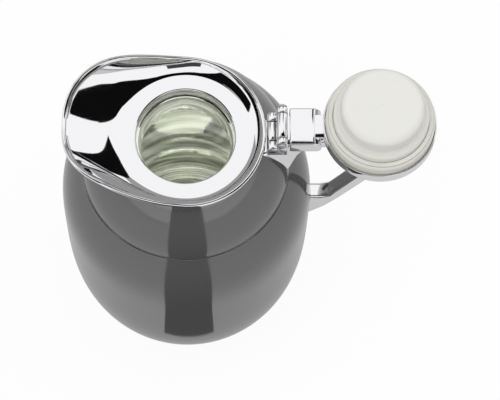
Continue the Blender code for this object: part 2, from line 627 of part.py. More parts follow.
# Hinge ------------------------------------------------------------------------------------
def make_hinge(chrome, steel):
    low = SEAT_Z + FIT
    top = MOUTH_Z + BRACKET_TOP
    lobe_x = COLLAR_R + LOBE_X
    lobe_z = MOUTH_Z + LOBE_RISE
    left = SKIRT_R + 1.0 * MM
    right = HINGE_X + KNUCKLE_R
    bracket = prism("hinge_bracket", ((left, low), (right, low), (right, top), (left, top)),
                    EAR_OUT, chrome)
    outer_low = LOBE_HALF_W + LOBE_GAP
    for tag, y0, y1 in (("rear", outer_low, EAR_OUT), ("middle", -LOBE_HALF_W, LOBE_HALF_W),
                        ("front", -EAR_OUT, -outer_low)):
        lobe = rod(f"lobe_{tag}", LOBE_R, (lobe_x, y0, lobe_z), (lobe_x, y1, lobe_z), 16)
        combine(bracket, lobe, "UNION")
    crown = arc((HINGE_X, HINGE_Z), KNUCKLE_R, 0.0, 180.0, 9)
    ear_foot = top - 1.0 * MM
    ear = [(HINGE_X + KNUCKLE_R, ear_foot)] + crown + [(HINGE_X - KNUCKLE_R, ear_foot)]
    for tag, side in (("rear", 1), ("front", -1)):
        centre = side * (EAR_OUT - EAR_T / 2.0)
        combine(bracket, prism(f"ear_{tag}", ear, EAR_T / 2.0, None, centre), "UNION")
    reach = EAR_OUT + 2.0 * MM
    combine(bracket, rod("ear_bore", PIN_R + FIT, (HINGE_X, -reach, HINGE_Z),
                         (HINGE_X, reach, HINGE_Z)), "DIFFERENCE")
    for i, side in enumerate((-1, 1)):
        spot = Vector((HINGE_X + BRACKET_SCREW_X, side * BRACKET_SCREW_Y, top))
        down = Vector((0.0, 0.0, -1.0))
        bore = rod("bracket_bore", BRACKET_SCREW_R + FIT, spot - down * MM, spot + down * 8 * MM)
        combine(bracket, bore, "DIFFERENCE")
        length = top + FIT - SEAT_Z + BRACKET_BITE - 1.0 * MM
        screw(f"bracket_screw_{i + 1}", BRACKET_SCREW_HEAD_R, BRACKET_SCREW_HEAD_H,
              BRACKET_SCREW_R, length, spot - down * FIT, down, steel)

    along_y = Matrix.Translation(PIVOT) @ Matrix.Rotation(math.radians(90.0), 4, "X")
    end = EAR_OUT + PIN_TAIL
    head = EAR_OUT + FIT
    lathe("hinge_pin", ((0.0, -end), (PIN_R, -end), (PIN_R, head), (PIN_HEAD_R, head),
                        (PIN_HEAD_R, head + 0.8 * PIN_HEAD_H), (0.0, head + PIN_HEAD_H)),
          steel, SMALL_STEPS, along_y, closed=False)
    lathe("hinge_pin_clip", ((PIN_R + FIT, -head), (CLIP_R, -head),
                             (CLIP_R, -head - CLIP_T), (PIN_R + FIT, -head - CLIP_T)),
          steel, SMALL_STEPS, along_y)


# Lid --------------------------------------------------------------------------------------
def lid_place():
    return Matrix.Translation((LID_X, 0.0, FACE_Z))


def shell_outline():
    """Shell section about the lid axis, heights from the stopper flange face."""
    edge = -FLANGE_H + SHELL_WALL + SHELL_LIP
    knee = edge - SHELL_SIDE
    inner_r = SHELL_R - SHELL_WALL
    outer = []
    inner = []
    for i in range(6):
        angle = math.radians(90.0 * i / 5)
        outer.append((SHELL_R * math.cos(angle), knee - SHELL_DOME * math.sin(angle)))
        inner.append((inner_r * math.cos(angle),
                      knee - (SHELL_DOME - SHELL_WALL) * math.sin(angle)))
    outer[-1] = (0.0, knee - SHELL_DOME)
    inner[-1] = (0.0, knee - SHELL_DOME + SHELL_WALL)
    return outer[::-1] + [(SHELL_R, edge), (inner_r, edge)] + inner


def make_arm(chrome, steel):
    """Arm block, hinge knuckle and the tongue that grips the stopper flange."""
    face = HINGE_X + ARM_GAP
    low = MOUTH_Z + HANDLE_TOP + 1.5 * FIT
    top = MOUTH_Z + ARM_TOP
    end = LID_X - SHELL_R - 0.5 * MM
    tongue_top = FACE_Z - FLANGE_H - FIT
    tongue_low = tongue_top - TONGUE_T
    corner = arc((end - ARM_ROUND, top - ARM_ROUND), ARM_ROUND, 90.0, 0.0, 6)
    block = [(face, low), (face, top)] + corner + [(end, low + 2.0 * MM), (end - 2.0 * MM, low)]
    arm = prism("lid_arm", block, ARM_HALF_W, chrome)
    bevel(arm, 1.0 * MM)
    web_low = HINGE_Z - 0.8 * KNUCKLE_R
    web = ((HINGE_X, web_low), (face + 2.0 * MM, web_low),
           (face + 2.0 * MM, top - 1.4 * MM), (HINGE_X, top - 1.4 * MM))
    combine(arm, prism("arm_web", web, KNUCKLE_HALF_W, None), "UNION")
    combine(arm, rod("arm_knuckle", KNUCKLE_R, (HINGE_X, -KNUCKLE_HALF_W, HINGE_Z),
                     (HINGE_X, KNUCKLE_HALF_W, HINGE_Z), 16), "UNION")
    inner_end = LID_X - SHELL_R + TONGUE_REACH
    tongue = ((end - 4.0 * MM, tongue_low), (inner_end, tongue_low),
              (inner_end, tongue_top), (end - 4.0 * MM, tongue_top))
    combine(arm, prism("arm_tongue", tongue, TONGUE_HALF_W, None), "UNION")
    reach = KNUCKLE_HALF_W + 3.0 * MM
    combine(arm, rod("knuckle_bore", PIN_R + FIT, (HINGE_X, -reach, HINGE_Z),
                     (HINGE_X, reach, HINGE_Z)), "DIFFERENCE")
    pieces = [arm]
    for i, side in enumerate((-1, 1)):
        spot = Vector((inner_end - ARM_SCREW_INSET, side * ARM_SCREW_Y, tongue_low))
        up = Vector((0.0, 0.0, 1.0))
        bore = rod("tongue_bore", ARM_SCREW_R + FIT, spot - up * MM, spot + up * 5 * MM)
        combine(arm, bore, "DIFFERENCE")
        pieces.append(screw(f"arm_screw_{i + 1}", ARM_SCREW_HEAD_R, ARM_SCREW_HEAD_H,
                            ARM_SCREW_R, TONGUE_T + 6.0 * MM, spot - up * FIT, up, steel))
    return pieces


def make_shell(chrome):
    shell = lathe("lid_shell", shell_outline(), chrome, LID_STEPS, lid_place(), closed=False)
    slot_top = FACE_Z - FLANGE_H
    slot_low = slot_top - FIT - TONGUE_T - FIT
    left = LID_X - SHELL_R - 3.0 * MM
    right = LID_X - SHELL_R + 6.0 * MM
    slot = ((left, slot_low), (right, slot_low), (right, slot_top), (left, slot_top))
    combine(shell, prism("tongue_slot", slot, TONGUE_HALF_W + FIT, None), "DIFFERENCE")
    return [shell]


def make_flange(plastic):
    """Plastic flange plate with its skirt, centre boss and two screw bosses."""
    outer_r = SHELL_R - SHELL_WALL - FIT
    plate = -FLANGE_PLATE
    floor = -FLANGE_H
    bore_r = STOPPER_SCREW_R + FIT
    skirt_floor = floor + TONGUE_T
    outline = [(bore_r, floor), (POST_R, floor), (POST_R, plate),
               (outer_r - PLUG_WALL, plate), (outer_r - PLUG_WALL, skirt_floor),
               (outer_r, skirt_floor)]
    outline += arc((outer_r - FLANGE_ROUND, -FLANGE_ROUND), FLANGE_ROUND, 0.0, 90.0, 4)
    outline.append((bore_r, 0.0))
    flange = lathe("stopper_flange", outline, plastic, LID_STEPS, lid_place())
    x = LID_X - SHELL_R + TONGUE_REACH - ARM_SCREW_INSET
    for side in (-1, 1):
        y = side * ARM_SCREW_Y
        boss = rod("flange_boss", ARM_BOSS_R, (x, y, FACE_Z + floor), (x, y, FACE_Z + plate + MM))
        combine(flange, boss, "UNION")
        bore = rod("flange_boss_bore", ARM_SCREW_R + FIT, (x, y, FACE_Z + floor - MM),
                   (x, y, FACE_Z + floor + 7.0 * MM))
        combine(flange, bore, "DIFFERENCE")
    return [flange]


def plug_outline():
    """Hollow two-step stopper plug, heights from the flange face."""
    base = FIT
    ledge = base + PLUG_H
    tip = ledge + BOSS_H
    roof = tip - PLUG_WALL
    bore_r = STOPPER_SCREW_R + FIT
    points = [(0.0, tip - PLUG_TIP), (bore_r, tip - PLUG_TIP), (bore_r, base), (POST_R, base),
              (POST_R, roof), (BOSS_R - 0.7 * BOSS_ROUND, roof),
              (BOSS_R - PLUG_WALL, tip - BOSS_ROUND), (BOSS_R - PLUG_WALL, ledge - PLUG_WALL),
              (PLUG_R - PLUG_WALL, ledge - 1.4 * PLUG_WALL), (PLUG_R - PLUG_WALL, base),
              (PLUG_R, base)]
    points += arc((PLUG_R - PLUG_ROUND, ledge - PLUG_ROUND), PLUG_ROUND, 0.0, 90.0, 4)
    points += arc((BOSS_R - BOSS_ROUND, tip - BOSS_ROUND), BOSS_ROUND, 0.0, 90.0, 5)
    points.insert(-5, (BOSS_R, ledge))
    points.append((0.0, tip))
    return points


def make_stopper(plastic, silicone, foam, steel):
    place = lid_place()
    plug = lathe("stopper_plug", plug_outline(), plastic, LID_STEPS, place, closed=False)

    ring_in = PLUG_R + FIT
    ring_out = ring_in + GASKET_W
    gasket = lathe("stopper_gasket", (
        (ring_in, FIT), (ring_out, FIT), (ring_out, FIT + 0.5 * GASKET_H),
        (ring_out - 0.3 * GASKET_W, GASKET_H), (ring_in, GASKET_H)), silicone, LID_STEPS, place)

    roof = FIT + PLUG_H + BOSS_H - PLUG_WALL - FIT
    core_in = POST_R + FIT
    core_out = BOSS_R - PLUG_WALL - FIT
    core = lathe("stopper_insulation", (
        (core_in, 2.0 * FIT), (core_out, 2.0 * FIT),
        (core_out, roof - 0.6 * BOSS_ROUND), (core_out - 0.5 * BOSS_ROUND, roof),
        (core_in, roof)), foam, SMALL_STEPS * 2, place)

    flange_under = -FLANGE_PLATE - FIT
    lid_low = shell_outline()[0][1] + SHELL_WALL
    pad_r = SHELL_R - TONGUE_REACH - ARM_BOSS_R
    rise = SHELL_DOME * (1.0 - math.sqrt(1.0 - (pad_r / SHELL_R) ** 2))
    pad_low = lid_low + rise + 2.0 * FIT
    pad_in = POST_R + FIT
    pad = lathe("lid_insulation", (
        (pad_in, pad_low), (pad_r, pad_low), (pad_r, flange_under), (pad_in, flange_under)),
        foam, SMALL_STEPS * 2, place)

    seat = Vector((LID_X, 0.0, FACE_Z - FLANGE_H - FIT))
    length = FLANGE_H + FIT + PLUG_H + BOSS_H - PLUG_TIP
    pin = screw("stopper_screw", STOPPER_SCREW_HEAD_R, STOPPER_SCREW_HEAD_H, STOPPER_SCREW_R,
                length, seat, (0.0, 0.0, 1.0), steel)
    return [plug, gasket, core, pad, pin]


def make_lid(mats):
    pivot = bpy.data.objects.new("lid_pivot", None)
    pivot.location = PIVOT
    bpy.context.scene.collection.objects.link(pivot)
    pieces = make_arm(mats["chrome"], mats["steel"])
    pieces += make_shell(mats["chrome"])
    pieces += make_flange(mats["stopper"])
    pieces += make_stopper(mats["stopper"], mats["silicone"], mats["foam"], mats["steel"])
    for piece in pieces:
        piece.data.transform(Matrix.Translation(-PIVOT))
        piece.parent = pivot


def main():
    clear_scene()
    mats = {
        "lacquer": material("body_lacquer", (0.18, 0.18, 0.185), 0.5, 0.16),
        "chrome": material("chrome", (0.83, 0.83, 0.85), 1.0, 0.05),
        "steel": material("steel", (0.6, 0.6, 0.62), 1.0, 0.3),
        "glass": material("silvered_glass", (0.55, 0.6, 0.52), 0.9, 0.08),
        "stopper": material("stopper_plastic", (0.78, 0.77, 0.72), 0.0, 0.35),
        "silicone": material("silicone", (0.75, 0.75, 0.72), 0.0, 0.5),
        "foam": material("insulation_foam", (0.9, 0.88, 0.8), 0.0, 0.9),
        "plastic": material("base_plastic", (0.05, 0.05, 0.05), 0.0, 0.5),
        "rubber": material("rubber", (0.03, 0.03, 0.03), 0.0, 0.8),
    }
    make_body(mats["lacquer"])
    make_collar(mats["chrome"])
    make_neck_gasket(mats["silicone"])
    make_liner(mats["glass"], mats["foam"])
    make_base(mats["plastic"], mats["rubber"], mats["rubber"])
    make_handle(mats["chrome"], mats["steel"])
    make_hinge(mats["chrome"], mats["steel"])
    make_lid(mats)


main()
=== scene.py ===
"""Looks of a table-top vacuum carafe with a flip-over stopper lid.

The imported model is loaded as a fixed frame.  Every polished, lacquered, glass
and moulded surface is modelled again here with finer curves, in the place and
size that the frame gives, and the small fixings keep their own meshes.
"""
import json
import math

import bmesh
import bpy
from mathutils import Matrix, Vector


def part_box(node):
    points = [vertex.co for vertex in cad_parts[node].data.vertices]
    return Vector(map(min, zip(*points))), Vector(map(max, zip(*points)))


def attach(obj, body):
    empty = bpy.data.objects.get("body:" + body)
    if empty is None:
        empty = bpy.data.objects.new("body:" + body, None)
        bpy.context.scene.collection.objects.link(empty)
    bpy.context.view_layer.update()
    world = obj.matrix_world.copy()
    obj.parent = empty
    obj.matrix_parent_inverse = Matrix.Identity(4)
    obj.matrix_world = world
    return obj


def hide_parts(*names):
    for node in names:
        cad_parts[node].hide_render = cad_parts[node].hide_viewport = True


MM = 0.001

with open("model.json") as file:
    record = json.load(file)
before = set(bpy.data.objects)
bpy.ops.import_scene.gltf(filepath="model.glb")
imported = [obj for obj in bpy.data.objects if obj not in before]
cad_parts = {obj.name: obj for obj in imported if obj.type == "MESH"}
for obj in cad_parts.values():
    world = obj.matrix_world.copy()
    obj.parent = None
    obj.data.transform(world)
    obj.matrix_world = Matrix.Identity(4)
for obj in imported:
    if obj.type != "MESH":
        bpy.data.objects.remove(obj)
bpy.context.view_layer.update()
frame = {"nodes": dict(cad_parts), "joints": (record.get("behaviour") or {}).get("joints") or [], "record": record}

# Places and sizes read from the frame ------------------------------------------
BULB_LOW, BULB_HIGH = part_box("body_shell")
SHOULDER_LOW, SHOULDER_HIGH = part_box("shoulder_shell")
COLLAR_LOW, COLLAR_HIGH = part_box("pouring_collar")
FLASK_LOW, FLASK_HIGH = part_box("liner_inner_flask")
BRACKET_LOW, BRACKET_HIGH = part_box("hinge_bracket")
ARM_LOW, ARM_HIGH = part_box("lid_arm")
SHELL_LOW, SHELL_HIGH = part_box("lid_shell")
FLANGE_LOW, FLANGE_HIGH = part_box("stopper_flange")
PLUG_LOW, PLUG_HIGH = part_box("stopper_plug")
HANDLE_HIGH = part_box("handle")[1]
HINGE = Vector(next(j["pos_m"] for j in frame["joints"] if j["name"] == "lid_hinge"))

# Casing
BODY_R = BULB_HIGH.y
CREASE_R = SHOULDER_HIGH.y
NECK_TOP = SHOULDER_HIGH.z
CREASE_Z = 0.5 * (SHOULDER_LOW.z + BULB_HIGH.z)
FOOT_Z = BULB_LOW.z
WAIST_Z = 113.6 * MM
NECK_R = 45.0 * MM
FOOT_R = 55.0 * MM
BASE_OPENING_R = 52.0 * MM
CASING_WALL = 1.0 * MM
CREASE_LIP = 0.45 * MM              # rounding of the two edges at the crease
NECK_SWELL = 2.0
SHOULDER_SWELL = 3.6
BELLY_SWELL = 4.3

# Pouring collar
WING_H = 21.6 * MM
SPOUT_TIP_H = 14.4 * MM
RIM_BACK_H = 6.0 * MM
WING_ANGLE = 36.0
WING_FALL = 8.0
SPOUT_SQUARENESS = 2.45
FUNNEL_CURVE = 1.8
BEAD_R = 1.2 * MM
SPIGOT_DROP = 8.5 * MM              # lower end of the spigot below the mouth ring
COLLAR_WALL = 1.5 * MM
RIM_R = COLLAR_HIGH.x - BEAD_R
SPOUT_R = -COLLAR_LOW.x - BEAD_R
MOUTH_Z = COLLAR_LOW.z + SPIGOT_DROP
MOUTH_R = 28.5 * MM
MOUTH_EDGE = 1.0 * MM
RING_W = 9.0 * MM                   # flat ring round the mouth
RING_R = MOUTH_R + RING_W
SKIRT_R = NECK_R + 0.6 * MM
SKIRT_DROP = 1.0 * MM
TUBE_DROP = 3.5 * MM
SPIGOT_R = 43.7 * MM

# Lid, open: heights are measured from the face of the flange
LID_X = 0.5 * (SHELL_LOW.x + SHELL_HIGH.x)
FACE_Z = FLANGE_HIGH.z
SHELL_R = SHELL_HIGH.y
SHELL_WALL = 1.0 * MM
SHELL_DOME = 9.0 * MM
SHELL_EDGE = SHELL_HIGH.z - FACE_Z
FLANGE_R = FLANGE_HIGH.y
FLANGE_ROUND = 2.4 * MM
PLUG_R = PLUG_HIGH.y
PLUG_BASE = PLUG_LOW.z - FACE_Z
PLUG_SHOULDER = 6.3 * MM
PLUG_TIP = PLUG_HIGH.z - FACE_Z
PLUG_ROUND = 2.2 * MM
BOSS_R = PLUG_R - 3.7 * MM
BOSS_ROUND = 4.0 * MM
GATE_R = 0.9 * MM                   # moulding gate mark on the tip
STOPPER_CORE_R = 3.0 * MM           # hole up the middle of the flange
TONGUE_HALF_W = 7.0 * MM
TONGUE_T = 2.4 * MM
FIT = 0.3 * MM                      # running gap between pieces

# Hinge
PIN_BORE_R = 1.8 * MM
KNUCKLE_HALF_W = 7.4 * MM
LOBE_R = 3.2 * MM
LOBE_HALF_W = 5.6 * MM
LOBE_SPLIT = 0.6 * MM               # gap between the middle lobe and its neighbours
EAR_T = 3.6 * MM
BRACKET_TOP = 4.5 * MM              # plate of the bracket above the mouth ring
ARM_TOP = 15.2 * MM                 # arm block above the mouth ring
ARM_NOSE_R = 5.5 * MM

# Facets round a full turn, for large and small pieces
TURN = 144
SMALL_TURN = 48


# Mesh helpers --------------------------------------------------------------------
def add_piece(name, bm, mat, body, slot, *nodes):
    """Turn a bmesh into a smooth piece that rides on a body and stands for nodes."""
    bmesh.ops.recalc_face_normals(bm, faces=bm.faces)
    mesh = bpy.data.meshes.new(name)
    bm.to_mesh(mesh)
    bm.free()
    mesh.shade_smooth()
    mesh.set_sharp_from_angle(angle=math.radians(40.0))
    mesh.materials.append(mat)
    obj = bpy.data.objects.new(name, mesh)
    bpy.context.scene.collection.objects.link(obj)
    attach(obj, body)
    if nodes:
        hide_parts(*nodes)
    return obj


def turned(outline, steps=TURN, centre=(0.0, 0.0), base=0.0, closed=False):
    """Spin an (r, z) outline about an upright axis into a closed bmesh."""
    bm = bmesh.new()
    verts = [bm.verts.new((r, 0.0, z)) for r, z in outline]
    edges = [bm.edges.new(pair) for pair in zip(verts, verts[1:])]
    if closed:
        edges.append(bm.edges.new((verts[-1], verts[0])))
    bmesh.ops.spin(bm, geom=verts + edges, axis=(0, 0, 1), cent=(0, 0, 0),
                   angle=2.0 * math.pi, steps=steps, use_merge=True)
    bmesh.ops.remove_doubles(bm, verts=bm.verts, dist=0.002 * MM)
    bmesh.ops.translate(bm, verts=bm.verts, vec=(centre[0], centre[1], base))
    return bm


def arc(centre, radius, start, end, count):
    """Points on a circle between two angles in degrees, both ends included."""
    points = []
    for i in range(count):
        angle = math.radians(start + (end - start) * i / (count - 1))
        points.append((centre[0] + radius * math.cos(angle),
                       centre[1] + radius * math.sin(angle)))
    return points


def block(outline, half_width, round_width=0.0, segments=3):
    """Extrude an (x, z) outline along Y and round its edges."""
    bm = bmesh.new()
    face = bm.faces.new([bm.verts.new((x, -half_width, z)) for x, z in outline])
    grown = bmesh.ops.extrude_face_region(bm, geom=[face])
    moved = [item for item in grown["geom"] if isinstance(item, bmesh.types.BMVert)]
    bmesh.ops.translate(bm, vec=(0.0, 2.0 * half_width, 0.0), verts=moved)
    bmesh.ops.recalc_face_normals(bm, faces=bm.faces)
    if round_width:
        round_edges(bm, round_width, segments)
    return bm


def round_edges(bm, width, segments=3, over=35.0):
    """Round every edge that is sharper than an angle in degrees."""
    sharp = [e for e in bm.edges if len(e.link_faces) == 2
             and e.calc_face_angle() > math.radians(over)]
    bmesh.ops.bevel(bm, geom=sharp, offset=width, offset_type="OFFSET", affect="EDGES",
                    segments=segments, profile=0.5, material=-1, clamp_overlap=True)


def barrel(radius, y_low, y_high, x, z, round_width=0.4 * MM):
    """Cylinder along Y with rounded ends."""
    bm = bmesh.new()
    place = (Matrix.Translation((x, 0.5 * (y_low + y_high), z))
             @ Matrix.Rotation(math.radians(90.0), 4, "X"))
    bmesh.ops.create_cone(bm, cap_ends=True, segments=SMALL_TURN, radius1=radius,
                          radius2=radius, depth=y_high - y_low, matrix=place)
    round_edges(bm, round_width, 3, 60.0)
    return bm


def solid(bm, name):
    """Temporary object for a boolean."""
    bmesh.ops.recalc_face_normals(bm, faces=bm.faces)
    mesh = bpy.data.meshes.new(name)
    bm.to_mesh(mesh)
    bm.free()
    obj = bpy.data.objects.new(name, mesh)
    bpy.context.scene.collection.objects.link(obj)
    return obj


def joined(base, others, operation="UNION"):
    """Boolean a bmesh with others and return the result as a bmesh."""
    target = solid(base, "target")
    tools = [solid(other, "tool") for other in others]
    for tool in tools:
        mod = target.modifiers.new("cut", "BOOLEAN")
        mod.operation = operation
        mod.solver = "EXACT"
        mod.object = tool
    graph = bpy.context.evaluated_depsgraph_get()
    result = bmesh.new()
    result.from_mesh(target.evaluated_get(graph).to_mesh())
    for obj in [target] + tools:
        bpy.data.objects.remove(obj, do_unlink=True)
    return result


# Material helpers -------------------------------------------------------------------
def new_material(name, color, metallic, roughness):
    """Principled material; returns it with its tree and shader."""
    mat = bpy.data.materials.new(name)
    mat.use_nodes = True
    tree = mat.node_tree
    shader = tree.nodes["Principled BSDF"]
    shader.inputs["Base Color"].default_value = (*color, 1.0)
    shader.inputs["Metallic"].default_value = metallic
    shader.inputs["Roughness"].default_value = roughness
    return mat, tree, shader


def noise(tree, scale, detail=3.0, stretch=(1.0, 1.0, 1.0)):
    """Noise on Object coordinates, stretched by a Mapping node."""
    where = tree.nodes.new("ShaderNodeTexCoord")
    mapping = tree.nodes.new("ShaderNodeMapping")
    mapping.inputs["Scale"].default_value = stretch
    field = tree.nodes.new("ShaderNodeTexNoise")
    field.inputs["Scale"].default_value = scale
    field.inputs["Detail"].default_value = detail
    tree.links.new(where.outputs["Object"], mapping.inputs["Vector"])
    tree.links.new(mapping.outputs["Vector"], field.inputs["Vector"])
    return field.outputs["Fac"]


def spread(tree, value, low, high, start=0.35, end=0.65):
    """Map a 0 to 1 field onto a range of numbers."""
    node = tree.nodes.new("ShaderNodeMapRange")
    node.inputs["From Min"].default_value = start
    node.inputs["From Max"].default_value = end
    node.inputs["To Min"].default_value = low
    node.inputs["To Max"].default_value = high
    tree.links.new(value, node.inputs["Value"])
    return node.outputs["Result"]


def blend_colors(tree, value, dark, light, start=0.35, end=0.65):
    """Mix two colours by a 0 to 1 field."""
    mix = tree.nodes.new("ShaderNodeMix")
    mix.data_type = "RGBA"
    sockets = [s for s in mix.inputs if s.type == "RGBA"]
    sockets[0].default_value = (*dark, 1.0)
    sockets[1].default_value = (*light, 1.0)
    tree.links.new(spread(tree, value, 0.0, 1.0, start, end), mix.inputs["Factor"])
    return next(s for s in mix.outputs if s.type == "RGBA")


def bump(tree, shader, value, strength, distance):
    node = tree.nodes.new("ShaderNodeBump")
    node.inputs["Strength"].default_value = strength
    node.inputs["Distance"].default_value = distance
    tree.links.new(value, node.inputs["Height"])
    tree.links.new(node.outputs["Normal"], shader.inputs["Normal"])


def lacquer_material():
    """Grey metallic lacquer under a hard clear gloss."""
    mat, tree, shader = new_material("body_lacquer", (0.172, 0.172, 0.173), 0.5, 0.09)
    flake = noise(tree, 2600.0, 1.0)
    tree.links.new(blend_colors(tree, flake, (0.163, 0.163, 0.164), (0.181, 0.181, 0.182)),
                   shader.inputs["Base Color"])
    tree.links.new(spread(tree, noise(tree, 24.0), 0.07, 0.11), shader.inputs["Roughness"])
    bump(tree, shader, noise(tree, 420.0, 2.0), 0.015, 0.0002)
    return mat


def chrome_material():
    """Polished chrome plate with the faintest waviness and wipe marks."""
    mat, tree, shader = new_material("chrome", (0.90, 0.90, 0.915), 1.0, 0.035)
    tree.links.new(spread(tree, noise(tree, 38.0, 4.0), 0.022, 0.06),
                   shader.inputs["Roughness"])
    bump(tree, shader, noise(tree, 55.0, 1.0), 0.012, 0.0005)
    return mat


def flask_material():
    """Silvered glass seen from inside: green cast and ripples, with bands of painted highlight: horizontal rings
    of noise lighten the colour and make the glass glow, standing in for reflected light.
    """
    mat, tree, shader = new_material("silvered_glass", (0.80, 0.82, 0.74), 1.0, 0.08)
    # Colour of the painted glow on the glass.
    shader.inputs["Emission Color"].default_value = (0.88, 0.90, 0.83, 1.0)
    # Horizontal bands of painted highlight: they lighten the base colour and drive the glow.
    painted_glow_bands = noise(tree, 26.0, 4.0, (0.35, 0.35, 2.6))
    tree.links.new(blend_colors(tree, painted_glow_bands, (0.62, 0.65, 0.55), (0.92, 0.93, 0.89)),
                   shader.inputs["Base Color"])
    # Painted highlight: the glass glows in these bands, though it is no lamp.
    tree.links.new(spread(tree, painted_glow_bands, 0.01, 0.26, 0.44, 0.62),
                   shader.inputs["Emission Strength"])
    tree.links.new(spread(tree, noise(tree, 60.0, 3.0), 0.02, 0.06),
                   shader.inputs["Roughness"])
    bump(tree, shader, noise(tree, 70.0, 3.0, (0.6, 0.6, 1.6)), 0.12, 0.0006)
    return mat


def plastic_material(name, dark, light, roughness, grain):
    """Moulded plastic with a slight cloudiness and a fine moulded grain."""
    mat, tree, shader = new_material(name, light, 0.0, roughness)
    tree.links.new(blend_colors(tree, noise(tree, 30.0, 3.0), dark, light),
                   shader.inputs["Base Color"])
    tree.links.new(spread(tree, noise(tree, 120.0), roughness - 0.05, roughness + 0.05),
                   shader.inputs["Roughness"])
    bump(tree, shader, noise(tree, 1800.0, 2.0), grain, 0.0001)
    return mat


def stopper_material():
    """Off-white moulding with painted shade: darker and more yellow lower down, towards the flange, and lighter
    towards the tip.
    """
    mat, tree, shader = new_material("stopper_plastic", (0.78, 0.775, 0.73), 0.0, 0.38)
    shader.inputs["Subsurface Weight"].default_value = 0.12
    shader.inputs["Subsurface Radius"].default_value = (0.004, 0.0036, 0.0026)
    where = tree.nodes.new("ShaderNodeTexCoord")
    split = tree.nodes.new("ShaderNodeSeparateXYZ")
    tree.links.new(where.outputs["Object"], split.inputs["Vector"])
    # Painted shade: height above the flange face makes the moulding darker and more yellow lower down and lighter
    # towards the upturned tip.
    depth = spread(tree, split.outputs["Z"], 0.0, 1.0, FACE_Z - 4.0 * MM, FACE_Z + PLUG_TIP)
    tree.links.new(blend_colors(tree, depth, (0.72, 0.715, 0.645), (0.80, 0.795, 0.755), 0.0, 0.8),
                   shader.inputs["Base Color"])
    tree.links.new(spread(tree, noise(tree, 90.0), 0.33, 0.43), shader.inputs["Roughness"])
    bump(tree, shader, noise(tree, 1500.0, 2.0), 0.05, 0.0001)
    return mat


def steel_material():
    """Turned steel with fine drawn lines."""
    mat, tree, shader = new_material("steel", (0.60, 0.60, 0.62), 1.0, 0.28)
    lines = noise(tree, 700.0, 3.0, (1.0, 1.0, 0.08))
    tree.links.new(spread(tree, lines, 0.2, 0.36), shader.inputs["Roughness"])
    bump(tree, shader, lines, 0.05, 0.0001)
    return mat


# Casing --------------------------------------------------------------------------------
def casing_radius(z):
    """Outer radius of the casing at a height above the table."""
    if z >= CREASE_Z:
        t = (NECK_TOP - min(z, NECK_TOP)) / (NECK_TOP - CREASE_Z)
        return NECK_R + (CREASE_R - NECK_R) * (1.0 - (1.0 - t) ** NECK_SWELL)
    if z >= WAIST_Z:
        t = (CREASE_Z - z) / (CREASE_Z - WAIST_Z)
        return CREASE_R + (BODY_R - CREASE_R) * (1.0 - (1.0 - t) ** SHOULDER_SWELL)
    t = (WAIST_Z - max(z, FOOT_Z)) / (WAIST_Z - FOOT_Z)
    return FOOT_R + (BODY_R - FOOT_R) * (1.0 - t ** BELLY_SWELL)


def make_casing(lacquer):
    """Shoulder and bulb, with the fine dark crease between their rounded lips."""
    low = SHOULDER_LOW.z
    span = NECK_TOP - low - CREASE_LIP
    heights = [NECK_TOP - span * i / 24 for i in range(25)]
    lip = casing_radius(low + CREASE_LIP) - CREASE_LIP
    outline = [(casing_radius(z), z) for z in heights]
    outline += arc((lip, low + CREASE_LIP), CREASE_LIP, 0.0, -90.0, 5)[1:]
    outline += [(casing_radius(z) - CASING_WALL, z) for z in heights[::-4]]
    add_piece("casing_shoulder", turned(outline, closed=True), lacquer, "carafe",
              "body_lacquer", "shoulder_shell")

    top = BULB_HIGH.z
    upper = [top - CREASE_LIP - (top - CREASE_LIP - WAIST_Z) * (i / 30) ** 1.2
             for i in range(31)]
    lower = [WAIST_Z - (WAIST_Z - FOOT_Z) * (i / 46) ** 0.75 for i in range(1, 47)]
    heights = upper + lower
    lip = casing_radius(heights[0]) - CREASE_LIP
    outline = arc((lip, heights[0]), CREASE_LIP, 90.0, 0.0, 5)[:-1]
    outline += [(casing_radius(z), z) for z in heights]
    floor = FOOT_Z + CASING_WALL
    outline += [(BASE_OPENING_R, FOOT_Z), (BASE_OPENING_R, floor)]
    inside = [z for z in heights[::-6] if z > floor + CASING_WALL]
    outline += [(casing_radius(z) - CASING_WALL, z) for z in inside]
    add_piece("casing_bulb", turned(outline, closed=True), lacquer, "carafe",
              "body_lacquer", "body_shell")


# Pouring collar ------------------------------------------------------------------------
def rim_at(angle):
    """Rim radius and height at an angle from the spout axis, in degrees."""
    turn = math.radians(min(angle, 90.0))
    along = abs(math.cos(turn) / SPOUT_R) ** SPOUT_SQUARENESS
    across = abs(math.sin(turn) / RIM_R) ** SPOUT_SQUARENESS
    radius = (along + across) ** (-1.0 / SPOUT_SQUARENESS)
    if angle < WING_ANGLE:
        rise = math.sin(math.radians(90.0 * angle / WING_ANGLE)) ** 2
        return radius, SPOUT_TIP_H + (WING_H - SPOUT_TIP_H) * rise
    t = (angle - WING_ANGLE) / (180.0 - WING_ANGLE)
    fall = (1.0 - t) ** WING_FALL * (1.0 + WING_FALL * t)
    return radius, RIM_BACK_H + (WING_H - RIM_BACK_H) * fall


